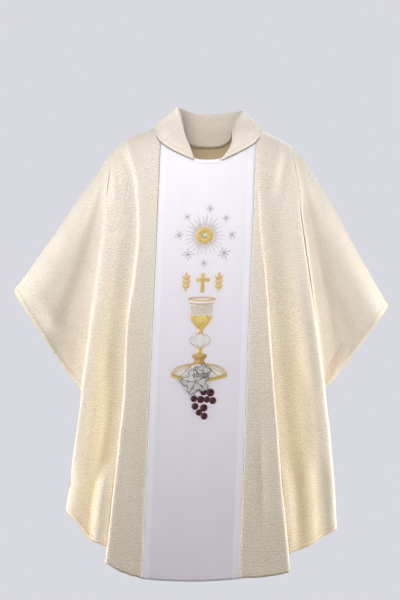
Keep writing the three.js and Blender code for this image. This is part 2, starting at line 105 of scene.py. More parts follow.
# How far a ridge leaves a straight line, at shares of the way down; how far out and how high the valley between the
# ridges lies; how high the lobe low in it stands and how much painted golden reflected light it takes away; how much
# painted golden reflected light each fold line gets.
BOW_AT = (0, 0.135, 0.25, 0.345, 0.486, 0.63, 0.775, 1)
LEFT = {
    "sign": -1, "arm": (ARM_OUT_LEFT, ARM_Z_LEFT), "cuff": 543, "edge_length": 349, "edge_drop": 56.1, "seed": 11,
    "inner": (222, 275, 45, (0, -37, -51, -46, -31, -31, -20, -1)),
    "outer": (252, 388, 192, (0, 3, 0, 0, 0, 0, 0, 0)), "valley": (0.45, 0.77), "lobe": (12, 1),
    "gold": (0, 0, 0, 0, 0.1, 0.15, 0.95, 0.6, 0.05, 0, 0.1, 0.1, 0, 0, 0, 0, 0, 0, 0, 0, 0, 0),
}
RIGHT = {
    "sign": 1, "arm": (ARM_OUT_RIGHT, ARM_Z_RIGHT), "cuff": 521, "edge_length": 306, "edge_drop": 53, "seed": 12,
    "inner": (150, 232, 24, (0, -14, -15, -10, -9, -8, -5, 0)),
    "outer": (239, 366, 142, (0, 4, 3, 6, 11, 14, 11, 0)), "valley": (0.58, 0.82), "lobe": (7, 0.6),
    "gold": (0, 0, 0, 0, 0.1, 0.25, 0.9, 0.4, 0.05, 0, 0.5, 0.8, 0.7, 0.3, 0.15, 0, 0, 0, 0, 0, 0, 0),
}


# ---------------------------------------------------------------- small maths
def mix(a, b, k):
    return a + (b - a) * k


def ramp(x, low, high):
    k = np.clip((x - low) / (high - low), 0, 1)
    return k * k * (3 - 2 * k)


def noise(x, y, seed):
    """Smooth bumps between -1 and 1, one for each unit of x and y."""
    grid = np.random.default_rng(seed).uniform(-1, 1, (128, 128))
    xi, yi = np.floor(x).astype(int), np.floor(y).astype(int)
    fx, fy = x - xi, y - yi
    fx, fy = (f ** 3 * (f * (f * 6 - 15) + 10) for f in (fx, fy))
    at = lambda i, j: grid[(xi + i) % 128, (yi + j) % 128]
    return mix(mix(at(0, 0), at(1, 0), fx), mix(at(0, 1), at(1, 1), fx), fy)


def through(knots, values, at):
    """A smooth line through values at knots that doesn't overshoot them."""
    knots, values = np.asarray(knots, float), np.asarray(values, float)
    h = np.diff(knots)
    d = np.diff(values) / h
    m = np.zeros(len(values))
    same = d[:-1] * d[1:] > 0
    w1, w2 = 2 * h[1:] + h[:-1], h[1:] + 2 * h[:-1]
    safe = np.where(same, d[:-1], 1), np.where(same, d[1:], 1)
    m[1:-1] = np.where(same, (w1 + w2) / (w1 / safe[0] + w2 / safe[1]), 0)
    m[0], m[-1] = d[0], d[-1]
    k = np.clip(np.searchsorted(knots, at, "right") - 1, 0, len(h) - 1)
    t = (at - knots[k]) / h[k]
    t2, t3 = t * t, t * t * t
    return (
        (2 * t3 - 3 * t2 + 1) * values[k] + (t3 - 2 * t2 + t) * h[k] * m[k]
        + (3 * t2 - 2 * t3) * values[k + 1] + (t3 - t2) * h[k] * m[k + 1]
    )


# ---------------------------------------------------------------- the hanging shape
# Small folds: from, to, how high (or deep), how wide.
CREASES = {
    -1: (((-236, -48), (-196, -150), -6, 11), ((-214, -34), (-168, -190), 5, 14),
         ((-190, -30), (-146, -170), -3, 12), ((-258, -60), (-250, -190), 4, 9),
         ((-350, -420), (-420, -560), -3, 26), ((-171, -660), (-187, -1190), -4.5, 15),
         ((-392, -560), (-470, -470), 4, 22)),
    1: (((232, -40), (205, -190), -5, 12), ((212, -30), (176, -180), 4, 13), ((256, -60), (268, -200), 4, 9),
        ((118, -768), (122, -790), 2.4, 5), ((117, -800), (121, -824), 2.6, 5), ((116, -794), (140, -856), -2.6, 5),
        ((390, -620), (352, -690), 5, 12), ((380, -600), (350, -660), -4, 10), ((144, -660), (160, -1190), -4.5, 14),
        ((330, -420), (400, -560), -3, 26)),
}


# The edge of the soft lobe low in each valley: heights, and how far out it is there.
LOBE = {
    -1: ((-1160, -1115, -1018, -950, -905), (322, 318, 309, 293, 266)),
    1: ((-1165, -1054, -982, -936, -913), (258, 254, 246, 238, 226)),
}


def top_line(side, out):
    """Height of the shoulder and arm line at a distance out from the middle."""
    return through(*side["arm"], np.asarray(out, float))


def forward(fall, over):
    """How far the cloth has come forward over the shoulder or arm, 0 to 1."""
    k = np.clip(fall / over, 0, 1)
    return (1 - (1 - k) ** 2.7) ** 0.72


def band_centre(z, facing):
    return NECK_CENTRE + (LEAN * (z + NECK_DROP[FRONT]) if facing == FRONT else 0 * z)


def fold_lines(side, facing):
    """The lines that the cloth hangs in, from the band's seam to the arm: where each starts on the shoulder,
    how far out and how high it ends, how far forward it lies, how much further for each millimetre down,
    and how much it follows the bow of the inner and of the outer ridge."""
    hem = HEM[facing]
    front = facing == FRONT
    seam_top = side["sign"] * band_centre(0, facing) + HALF_BAND
    seam_foot = side["sign"] * band_centre(hem, facing) + HALF_BAND
    inner_top, inner, inner_rise, _ = side["inner"]
    apex, outer, outer_rise, _ = side["outer"]
    if not front:
        inner_top, inner, outer = seam_top + 44, inner - 24, outer - 45
    cuff_z = float(top_line(side, side["cuff"]))
    drop = math.radians(side["edge_drop"])

    def edge(k):
        reach = side["edge_length"] * k
        return side["cuff"] - math.cos(drop) * reach, cuff_z - math.sin(drop) * reach

    notch = edge(1)
    corner = hem + outer_rise
    ridge = hem + inner_rise
    valley = side["valley"]
    behind = lambda k: (mix(outer - 14, notch[0], k), mix(corner, notch[1], k))
    rows = [
        (seam_top, seam_foot, hem + 7, 101, 0.071, 0, 0),
        (mix(seam_top, inner_top, 0.55), mix(seam_foot, inner, 0.55), mix(hem + 7, ridge, 0.5), 103, 0.077, 0.5, 0),
        (max(inner_top - 4, mix(seam_top, inner_top, 0.8)), inner - 7, ridge + 2, 103, 0.0845, 1, 0),
        (inner_top, inner, ridge + 6, 102, 0.084, 1, 0),
        (inner_top + 2, inner - 9, ridge + 30, 100, 0.064, 1, 0),
        (inner_top + 6, inner - 5, ridge + 42, 97, 0.050, 0.95, 0),
        (mix(inner_top, apex, 0.5), mix(inner, outer, 0.38), mix(ridge, corner, valley[0]), 95, 0.054, 0.5, 0.3),
        (mix(inner_top, apex, 0.78), mix(inner, outer, 0.72), mix(ridge, corner, valley[1]), 89, 0.052, 0.15, 0.7),
        (apex - 3, outer - 7, corner - 8, 84, 0.053, 0, 1),
        (apex, outer, corner, 82, 0.051, 0, 1),
        (apex + 1, outer - 8, corner + 14, 79, 0.040, 0, 1),
        (apex + 2, *behind(0.22), 77, 0.014, 0, 0.9),
        (apex + 4, *behind(0.46), 75, -0.030, 0, 0.8),
        (apex + 6, *behind(0.64), 75, 0, 0, 0.7),
        (apex + 8, *behind(0.82), 72, -0.030, 0, 0.6),
        (apex + 11, *notch, 69, -0.035, 0, 0.5),
        (apex + 15, *edge(0.8), 66, -0.030, 0, 0.3),
        (apex + 19, *edge(0.55), 64, -0.010, 0, 0),
        (apex + 24, *edge(0.3), 58, 0, 0, 0),
        (apex + 29, *edge(0.12), 58, 0, 0, 0),
        (apex + 34, *edge(0.03), 58, 0, 0, 0),
        (apex + 37, *edge(0), 58, 0, 0, 0),
    ]
    return np.array(rows, float)


def hang(side, facing, lines, down):
    """Points (millimetres) of lines that run from the shoulder to the hem, at shares of the way down."""
    top, foot, foot_z, depth, flare, inner_bow, outer_bow = (c[:, None] for c in lines.T)
    down = down[None, :]
    share = 1 if facing == FRONT else 0.25
    bow = inner_bow * through(BOW_AT, side["inner"][3], down) + outer_bow * through(BOW_AT, side["outer"][3], down)
    out = mix(top, foot, down) + bow * share
    reach = top_line(side, foot) - foot_z
    fall = reach * down + 0 * out
    z = top_line(side, out) - fall
    deep = OUTSIDE + (depth - flare * z) * forward(fall, SHOULDER_ROUND)
    return np.stack([side["sign"] * out, facing * deep, z], axis=-1)


def normals(points, facing):
    n = np.cross(np.gradient(points, axis=0), np.gradient(points, axis=1))
    n /= np.maximum(np.linalg.norm(n, axis=-1, keepdims=True), 1e-9)
    middle = n[len(n) // 4, n.shape[1] // 2]
    return n * (1 if middle[1] * facing > 0 else -1)


def crease(points, start, end, height, width):
    """A small fold along a straight line seen from the front, from start to end, each across and high."""
    at = np.stack([points[..., 0], points[..., 2]], axis=-1)
    a, b = np.array(start, float), np.array(end, float)
    k = np.clip(((at - a) @ (b - a)) / ((b - a) @ (b - a)), 0, 1)
    gap = np.linalg.norm(at - a - k[..., None] * (b - a), axis=-1)
    return height * (0.35 + 0.65 * np.sin(np.pi * np.clip(k, 0.02, 0.98))) * np.exp(-((gap / width) ** 2))


def lengths(points, axis):
    return np.linalg.norm(np.diff(points, axis=axis), axis=-1)


def running(steps):
    return np.concatenate([[0], np.cumsum(steps)])


def way_down(points):
    """How far each point of a grid is from the start of its line."""
    return np.concatenate([np.zeros((len(points), 1)), np.cumsum(lengths(points, 1), axis=1)], axis=1)


def quarter(side, facing, columns, rows):
    """One quarter of the garment: its points, the same points laid flat, and how much painted golden reflected light
    each one gets in the folds.
    """
    control = fold_lines(side, facing)
    rough = hang(side, facing, control, np.array([0.55, 0.75]))
    knots = running(lengths(rough, 0).mean(1) + 1.5)
    at = np.linspace(0, knots[-1], columns)
    lines = np.stack([through(knots, c, at) for c in control.T], axis=1)
    down = np.linspace(0, 1, rows) ** 1.2
    points = hang(side, facing, lines, down)

    # Laid flat, each line is straight and fans out by as much as the cloth between two lines widens. The hidden folds
    # under the arm are taken to hold the rest of FLAT_TURN: the flat cut counts that cloth, and the mesh lacks it.
    along = way_down(points)
    row = int(rows * 0.62)
    start = running(lengths(points[:, :1], 0)[:, 0])
    wide = lengths(points[:, row : row + 1], 0)[:, 0]
    reach = (along[1:, row] + along[:-1, row]) / 2
    fan = np.maximum(0, wide - np.diff(start)) / reach
    hidden = (at[1:] > knots[10]) & (at[1:] < knots[15])
    fan = fan + hidden * max(0, math.radians(FLAT_TURN) - fan.sum()) / hidden.sum()
    turn = running(fan)[:, None]
    flat = np.stack([lines[:, :1] + along * np.sin(turn), -along * np.cos(turn)], axis=-1)

    # Long soft wrinkles that run down from the shoulder, and small puckers along the band's seam.
    seed = side["seed"] + (0 if facing == FRONT else 40)
    grown = ramp(along, 120, 900)
    away = np.abs(points[..., 0] - points[:1, :, 0])
    clear = ramp(away, 4, 60) * ramp(along, 0, 90)
    hem = along[:, -1:] - along
    u = np.linspace(0, 1, columns)[:, None] + 0 * along
    push = 3.4 * grown * noise(turn * 9 + 3 + u * 5, along / 420, seed)
    push += 1.5 * noise(u * 23 + 5, along / 210 + 3, seed + 1) * (0.3 + grown)
    push += 0.9 * noise(flat[..., 0] / 42, flat[..., 1] / 75, seed + 2)
    if facing == FRONT:
        across = np.interp(at, knots, np.arange(len(knots)))[:, None]
        heights, edges = LOBE[side["sign"]]
        inside = through(heights, edges, np.clip(points[..., 2], heights[0], heights[-1])) - np.abs(points[..., 0])
        lobe = ramp(inside, -6, 24) * ramp(-points[..., 2], -heights[-1] - 12, -heights[-1] + 90)
        lobe = lobe * ramp(across, 4.0, 5.2) * ramp(across, 8.2, 7.6)
        push += side["lobe"][0] * lobe
        for line in CREASES[side["sign"]]:
            push += crease(points, *line)
    push = push * clear
    pucker = 0.7 * noise(along / 17, away / 30, seed + 3) * np.exp(-away / 26) * ramp(away, 0, 3)
    push += pucker - 1.3 * np.exp(-((away / 2.2) ** 2)) * (along > 0)
    push += 0.6 * ramp(hem, 16, 12)
    n = normals(points, facing)
    points = points + n * push[..., None]
    points[..., 2] += 1.5 * noise(u * 60, 0 * along, seed + 4) * ramp(hem, 40, 0)
    # Painted golden reflected light in the folds: more of it lower down, less of it on the lobe.
    painted_fold_light = through(knots, side["gold"], at)[:, None] * ramp(along, 200, 800) + 0 * along
    if facing == FRONT:
        painted_fold_light = painted_fold_light * (1 - side["lobe"][1] * lobe)
    return points, flat, painted_fold_light, hem, away


def rest_depth(x, z, facing):
    """How far forward or back the garment's cloth lies at a place across and a height."""
    out = np.abs(x)
    over = np.where(x < 0, top_line(LEFT, out), top_line(RIGHT, out)) - z
    return facing * (OUTSIDE + (CHEST_DEPTH - FLARE * z) * forward(over, SHOULDER_ROUND))


# One half of the collar from the middle of the back to the front end: across, deep, high.
ROLL = {
    LEFT["sign"]: ((0, 76, 62), (30, 74, 64), (58, 60, 71), (80, 30, 78), (87, -6, 80), (78, -36, 43), (64, -68, -6),
                   (49, -91, -44), (37.6, -104, -75)),
    RIGHT["sign"]: ((0, 76, 62), (30, 74, 63), (64, 60, 65), (92, 30, 67), (103, -6, 67), (92, -42, 33), (84, -73, 0),
                    (59, -96, -48), (37.6, -104, -76)),
}
FALL = {
    LEFT["sign"]: ((0, 1, -30), (50, 1, -26), (100, 1, -12), (146, 0.4, 8), (161, 0, 13), (149, -0.5, -4),
                   (130, -1, -28), (91, -1, -54), (39, -1, -78)),
    RIGHT["sign"]: ((0, 1, -30), (50, 1, -26), (100, 1, -14), (150, 0.4, 2), (160, 0, 3), (149, -0.5, -8),
                    (133, -1, -28), (91, -1, -54), (39, -1, -79)),
}


def along_line(knots, at):
    knots = np.asarray(knots, float)
    steps = running(lengths(knots, 0))
    return np.stack([through(steps / steps[-1], c, at) for c in knots.T], axis=-1)


def collar(columns, rows):
    """The collar's points from one front end round the back to the other, and from the neck edge inside,
    up over the roll and down to the outer edge."""
    halves = []
    for side in (LEFT, RIGHT):
        w = np.linspace(0, 1, columns)
        roll = along_line(ROLL[side["sign"]], w)
        outer = along_line(FALL[side["sign"]], w)
        outer[:, 0] *= side["sign"]
        x = NECK_CENTRE + outer[:, 0]
        front = rest_depth(x, outer[:, 2], FRONT) - 4
        back = rest_depth(x, outer[:, 2], BACK) + 4
        lean = ramp(w, 0.42, 0.62)
        outer[:, 1] = mix(back, front, lean)
        roll[:, 0] *= side["sign"]
        turn = np.arctan2(np.abs(roll[:, 0]), roll[:, 1])
        turn *= (math.pi - math.asin(BINDING_HALF / NECK_HALF)) / turn[-1]
        across = side["sign"] * NECK_HALF * np.sin(turn)
        on_front = turn > math.pi / 2
        high = np.where(on_front, neck_height(across, FRONT), neck_height(across, BACK))
        deep = np.where(on_front, rest_depth(NECK_CENTRE + across, high, FRONT),
                        rest_depth(NECK_CENTRE + across, high, BACK))
        neck = np.stack([across * 0.95, deep * 0.95, high - 5 * (1 - w**4)], axis=-1)
        away = np.stack([roll[:, 0], roll[:, 1] + 10, 0 * w], axis=-1)
        away /= np.linalg.norm(away, axis=1, keepdims=True)
        up = np.array([0, 0, 1.0])
        r = 3.2 - 1.4 * w[:, None] ** 3
        strip = []
        for k in np.linspace(0, 1, rows + 1)[:-1]:
            p = mix(neck, roll - away * r, k)
            strip.append(p - away * 2.5 * np.sin(math.pi * k) * (1 - w[:, None] ** 4))
        for a in np.linspace(0, math.pi, 7)[:-1]:
            strip.append(roll - away * r * math.cos(a) + up * r * math.sin(a))
        for k in np.linspace(0, 1, rows + 1):
            p = mix(roll + away * r, outer, k)
            bulge = (5 + 8 * ramp(w[:, None], 0.3, 0.55)) * np.sin(math.pi * k) * (1 - w[:, None] ** 4)
            strip.append(p + away * bulge * 0.75 + up * bulge * 0.5)
        halves.append(np.stack(strip, axis=1))
    points = np.concatenate([halves[0][::-1], halves[1][1:]], axis=0)
    points[..., 0] += NECK_CENTRE
    across = running(lengths(points, 0)[:, rows + 3])
    down = way_down(points)
    n = normals(points, BACK)
    bumps = 0.8 * noise(across[:, None] / 34 + 0 * down, down / 26, 61)
    edge = down[:, -1:] - down
    points = points + n * (bumps * ramp(down, 20, 60))[..., None]
    flat = np.stack([across[:, None] + 0 * down, down], axis=-1)
    # The collar gets a little painted golden reflected light all over.
    return points, flat, 0.25 + 0 * down, edge, 60 + 0 * down


BAND_LINES = [-133, -129, -120, -108, -96, -86, -79, -75, -73, -71.5, -69, -65, -58, -48, -36, -24, -12, 0]


def neck_height(across, facing):
    """Height of the neck opening's edge, at a distance across from its middle."""
    side = float(top_line(LEFT, NECK_HALF))
    k = np.clip(np.abs(across) / NECK_HALF, 0, 1)
    return side - (side + NECK_DROP[facing]) * (1 - k**3) ** (1 / 3)


def band(facing, rows):
    """The straight band: points, flat points, no painted fold light, distance from the hem and from the seam."""
    across = np.array(BAND_LINES + [-x for x in BAND_LINES[-2::-1]])
    extra = [np.linspace(a, b, 4)[:-1] for a, b in zip(across[:-1], across[1:])]
    across = np.append(np.concatenate(extra), across[-1])[:, None]
    out = NECK_CENTRE + across
    shoulder = np.where(out < 0, top_line(LEFT, np.abs(out)), top_line(RIGHT, np.abs(out)))
    k = np.clip(np.abs(across) / NECK_HALF, 0, 1)
    top = np.where(k < 1, np.minimum(shoulder, neck_height(across, facing)), shoulder)
    foot = HEM[facing] + 7 * (across / HALF_BAND) ** 2
    fall = (top - foot) * np.linspace(0, 1, rows)[None, :] ** 1.2
    z = top - fall
    x = across + band_centre(z, facing)
    edge = np.abs(across) > HALF_BAND - 0.1
    deep = OUTSIDE + (CHEST_DEPTH - FLARE * z) * forward(shoulder - z, SHOULDER_ROUND)
    points = np.stack([x, facing * deep, z], axis=-1)
    along = way_down(points)
    away = np.minimum(across + HALF_BAND, HALF_BAND - across) + 0 * z
    grown = ramp(-z, 250, 1100)
    seed = 5 if facing == FRONT else 6
    push = 2.2 * grown * noise(across / 75 + 7, z / 500, seed) * ramp(away, 2, 60)
    push += 0.5 * noise(across / 40, z / 90, seed + 9) * ramp(away, 2, 30) * ramp(-z, 90, 200)
    if facing == FRONT:
        push = push * np.maximum(ramp(np.abs(across), 86, 105), np.maximum(ramp(-z, 830, 900), ramp(z, -195, -150)))
    push += 0.7 * noise(-z / 19, away / 30, seed + 20) * np.exp(-away / 24) * ramp(away, 0, 3)
    push -= 1.3 * np.exp(-((away / 2.2) ** 2))
    push = np.where(edge & (fall == 0), 0, push)
    points = points + normals(points, facing) * push[..., None]
    flat = np.stack([across + 0 * z, z], axis=-1)
    hem = along[:, -1:] - along
    return points, flat, 0 * z, hem, away


def band_point(s, z, lift):
    """A point sewn on the front band: s across from its middle line, z high, lift off the cloth."""
    return np.stack([band_centre(z, FRONT) + s, -(OUTSIDE + CHEST_DEPTH - FLARE * z + lift), z], axis=-1)


# ---------------------------------------------------------------- making meshes
def sheet_mesh(name, points, flat, painted_fold_light, hem, away, outward):
    """A grid of points as a sheet of cloth whose outside faces outward, with its flat cut as UVs."""
    nu, nv = points.shape[:2]
    index = np.arange(nu * nv).reshape(nu, nv)
    a, b, c, d = index[:-1, :-1], index[1:, :-1], index[1:, 1:], index[:-1, 1:]
    faces = np.stack([a, b, c, d], axis=-1).reshape(-1, 4)
    p = points.reshape(-1, 3)
    n = np.cross(p[faces[:, 2]] - p[faces[:, 0]], p[faces[:, 3]] - p[faces[:, 1]])
    if (n @ np.array(outward, float)).sum() < 0:
        faces = faces[:, ::-1]
    on_arm = ramp(np.abs(points[..., 0]) + 0.13 * points[..., 2], 243, 257)
    mesh = bpy.data.meshes.new(name)
    mesh.from_pydata((p * MM).tolist(), [], faces.tolist())
    uv = mesh.uv_layers.new(name="cloth")
    loop = np.empty(len(mesh.loops), int)
    mesh.loops.foreach_get("vertex_index", loop)
    uv.data.foreach_set("uv", (flat.reshape(-1, 2)[loop] * MM).ravel())
    for word, values in (("painted_fold_light", painted_fold_light), ("hem", hem * MM), ("seam", away * MM), ("arm", on_arm)):
        mesh.attributes.new(word, "FLOAT", "POINT").data.foreach_set("value", np.ravel(values).astype(float))
    obj = bpy.data.objects.new(name, mesh)
    bpy.context.scene.collection.objects.link(obj)
    mesh.shade_smooth()
    return obj


# ---------------------------------------------------------------- embroidery
def select_only(*objects):
    bpy.ops.object.select_all(action="DESELECT")
    for obj in objects:
        obj.select_set(True)
    if objects:
        bpy.context.view_layer.objects.active = objects[0]


@contextlib.contextmanager
def editing():
    """The active mesh in edit mode, all of it selected."""
    bpy.ops.object.mode_set(mode="EDIT")
    bpy.ops.mesh.select_all(action="SELECT")
    yield
    bpy.ops.object.mode_set(mode="OBJECT")


def new_piece(name):
    obj = bpy.context.object
    obj.name = obj.data.name = name
    return obj


def patch(name, outline, thick=0.9, soft=0.9):
    """A patch of satin stitch lying flat: an outline filled, raised, and rounded at its edge."""
    select_only()
    bpy.ops.mesh.primitive_circle_add(vertices=len(outline), radius=1, fill_type="NGON")
    obj = new_piece(name)
    area = sum(a[0] * b[1] - b[0] * a[1] for a, b in zip(outline, outline[1:] + outline[:1]))
    for vertex, (x, z) in zip(obj.data.vertices, outline if area > 0 else outline[::-1]):
        vertex.co = (x, z, 0)
    with editing():
        bpy.ops.mesh.extrude_region_move(TRANSFORM_OT_translate={"value": (0, 0, thick * 0.45)})
        bpy.ops.mesh.inset(thickness=soft, depth=thick * 0.55)
        bpy.ops.mesh.select_all(action="SELECT")
        bpy.ops.mesh.quads_convert_to_tris()
        bpy.ops.mesh.normals_make_consistent(inside=False)
    return obj


def threads(name, paths, radius, lift=0.0, taper=1.0):
    """Rows of couched thread lying flat, along paths of points."""
    select_only()
    bpy.ops.curve.primitive_nurbs_path_add()
    obj = new_piece(name)
    curve = obj.data
    curve.splines.clear()
    for path in paths:
        is_loop = math.dist(path[0], path[-1]) < 1e-6
        kept = path[:-1] if is_loop else path
        spline = curve.splines.new("POLY")
        spline.points.add(len(kept) - 1)
        for k, (point, (x, z)) in enumerate(zip(spline.points, kept)):
            point.co = (x, z, 0, 1)
            point.radius = 1 if is_loop else mix(1, taper, k / max(1, len(kept) - 1))
        spline.use_cyclic_u = is_loop
    curve.dimensions = "3D"
    curve.bevel_depth = radius
    curve.bevel_resolution = 1
    curve.use_fill_caps = True
    bpy.ops.object.convert(target="MESH")
    obj = bpy.context.object
    for vertex in obj.data.vertices:
        vertex.co.z = vertex.co.z * 0.8 + lift
    return obj


def dome(name, radius, rings, share):
    """Half a ball lying on the cloth, pressed to a share of its height."""
    select_only()
    bpy.ops.mesh.primitive_uv_sphere_add(segments=24, ring_count=rings, radius=radius)
    obj = new_piece(name)
    with editing():
        bpy.ops.mesh.bisect(plane_co=(0, 0, 0), plane_no=(0, 0, 1), clear_inner=True, use_fill=True)
    for vertex in obj.data.vertices:
        vertex.co.z *= share
    return obj


def copied(obj, name, x=0.0, z=0.0, scale=1.0, turn=0.0):
    """A copy with its own mesh, moved, resized and turned within its plane."""
    mesh = obj.data.copy()
    mesh.name = name
    for vertex in mesh.vertices:
        a, b = vertex.co.x * scale, vertex.co.y * scale
        vertex.co.x = x + a * math.cos(turn) - b * math.sin(turn)
        vertex.co.y = z + a * math.sin(turn) + b * math.cos(turn)
    made = bpy.data.objects.new(name, mesh)
    bpy.context.scene.collection.objects.link(made)
    return made


def join(name, *objects):
    select_only(*objects)
    bpy.ops.object.join()
    return new_piece(name)


def drop(*objects):
    for obj in objects:
        bpy.data.objects.remove(obj)


def sew(obj, node, slot, lift=0.0, looks=None):
    """Lays a flat piece on the front band."""
    mesh = obj.data
    flat = np.empty(len(mesh.vertices) * 3)
    mesh.vertices.foreach_get("co", flat)
    flat = flat.reshape(-1, 3)
    points = band_point(flat[:, 0], flat[:, 1], flat[:, 2] + lift)
    mesh.vertices.foreach_set("co", (points * MM).ravel())
    select_only(obj)
    with editing():
        bpy.ops.mesh.normals_make_consistent(inside=False)
    bpy.ops.object.shade_smooth_by_angle(angle=SMOOTH_ANGLE)
    mesh.materials.clear()
    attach(obj, "root")
    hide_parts(node)
    mesh.materials.append(MATERIALS[looks or slot])


def steps(a, b, count):
    return [mix(a, b, i / count) for i in range(count + 1)]


def turned(profile):
    """An outline with the same half width on both sides, from (height, half width) pairs, top to bottom."""
    return [(-half, z) for z, half in profile] + [(half, z) for z, half in reversed(profile)]


def oval(x, z, a, b, count=40):
    turns = [2 * math.pi * i / count for i in range(count)]
    return [(x + a * math.cos(t), z + b * math.sin(t)) for t in turns]


def closed(path):
    return [*path, path[0]]


# ---------------------------------------------------------------- materials
class Nodes:
    """A short way to lay out a material's nodes."""

    def __init__(self, name):
        self.material = bpy.data.materials.new(name)
        self.material.use_nodes = True
        self.tree = self.material.node_tree
        self.shader = self.tree.nodes["Principled BSDF"]

    def node(self, kind, **values):
        made = self.tree.nodes.new(kind)
        for key, value in values.items():
            if hasattr(made, key):
                setattr(made, key, value)
            else:
                self.set(made.inputs[key.replace("_", " ")], value)
        return made

    def set(self, socket, value):
        if isinstance(value, bpy.types.NodeSocket):
            self.tree.links.new(value, socket)
        else:
            socket.default_value = value

    def math(self, operation, a, b=0.0, c=0.0):
        made = self.tree.nodes.new("ShaderNodeMath")
        made.operation = operation
        for socket, value in zip(made.inputs, (a, b, c)):
            self.set(socket, value)
        return made.outputs[0]

    def times(self, a, b):
        return self.math("MULTIPLY", a, b)

    def plus(self, a, b):
        return self.math("ADD", a, b)

    def scaled(self, value, gain, offset):
        return self.math("MULTIPLY_ADD", value, gain, offset)

    def blend(self, factor, a, b, kind="MIX"):
        made = self.tree.nodes.new("ShaderNodeMix")
        made.data_type = "RGBA"
        made.blend_type = kind
        self.set(made.inputs[0], factor)
        self.set(made.inputs[6], a)
        self.set(made.inputs[7], b)
        return made.outputs[2]

    def attribute(self, name):
        return self.node("ShaderNodeAttribute", attribute_name=name).outputs["Fac"]

    def cloth(self):
        """The cloth's flat coordinates in millimetres: across and down."""
        uv = self.node("ShaderNodeUVMap", uv_map="cloth").outputs[0]
        scaled = self.node("ShaderNodeVectorMath", operation="SCALE")
        self.set(scaled.inputs[0], uv)
        scaled.inputs["Scale"].default_value = 1000
        parts = self.node("ShaderNodeSeparateXYZ")
        self.set(parts.inputs[0], scaled.outputs[0])
        return scaled.outputs[0], parts.outputs[0], parts.outputs[1]

    def object(self):
        at = self.node("ShaderNodeTexCoord").outputs["Object"]
        scaled = self.node("ShaderNodeVectorMath", operation="SCALE")
        self.set(scaled.inputs[0], at)
        scaled.inputs["Scale"].default_value = 1000
        return scaled.outputs[0]

    def lowness(self):
        """0 at the shoulders to 1 at the hem."""
        parts = self.node("ShaderNodeSeparateXYZ")
        self.set(parts.inputs[0], self.object())
        made = self.node("ShaderNodeMapRange")
        self.set(made.inputs["Value"], parts.outputs[2])
        made.inputs["From Min"].default_value = -250
        made.inputs["From Max"].default_value = -1150
        return made.outputs[0]

    def stretch(self, vector, x, y, z=1.0):
        mapping = self.node("ShaderNodeMapping")
        self.set(mapping.inputs["Vector"], vector)
        mapping.inputs["Scale"].default_value = (x, y, z)
        return mapping.outputs[0]

    def cloud(self, vector, scale, detail=2.0, roughness=0.5):
        made = self.node("ShaderNodeTexNoise", Scale=scale, Detail=detail, Roughness=roughness)
        self.set(made.inputs["Vector"], vector)
        return made.outputs["Fac"]

    def wave(self, value, pitch):
        """Waves between -1 and 1, one for each pitch."""
        return self.math("SINE", self.times(value, 2 * math.pi / pitch))

    def clamp(self, value, gain, offset):
        made = self.node("ShaderNodeClamp")
        self.set(made.inputs[0], self.scaled(value, gain, offset))
        return made.outputs[0]

    def hem_line(self):
        return self.math("COMPARE", self.attribute("hem"), HEM_STITCH, 0.0007)

    def dashes(self, line, across, down):
        """A sewn line broken into stitches."""
        run = self.math("SINE", self.times(self.plus(across, down), 2.1))
        return self.times(line, self.math("GREATER_THAN", run, -0.3))

    def bump(self, height, distance, strength=1.0, under=None):
        made = self.node("ShaderNodeBump", Strength=strength, Distance=distance)
        self.set(made.inputs["Height"], height)
        if under is not None:
            self.set(made.inputs["Normal"], under)
        return made.outputs[0]

    def finish(self, color, normal=None, **values):
        self.set(self.shader.inputs["Base Color"], color)
        if normal is not None:
            self.set(self.shader.inputs["Normal"], normal)
        for key, value in values.items():
            self.set(self.shader.inputs[key.replace("_", " ")], value)
        return self.material


def rgb(r, g, b):
    """A colour as the eye sees it, 0 to 255, as the shader needs it."""
    return (*(((c / 255 + 0.055) / 1.055) ** 2.4 if c > 10 else c / 3294 for c in (r, g, b)), 1.0)


RIB_PITCH = 5.9  # millimetres
HEM_STITCH, SEAM_STITCH = 0.0125, 0.0045  # metres in from the edge
# What the cloth's colour is multiplied by: painted golden reflected light in the folds, and painted shade towards the
# hem, warmer on the cream and cooler on the satin.
FOLD_REFLECTED_LIGHT = (1.05, 0.965, 0.745, 1)
WARM_SHADE_LOW = (0.97, 0.94, 0.88, 1)
COOL_SHADE_LOW = (0.90, 0.87, 0.905, 1)


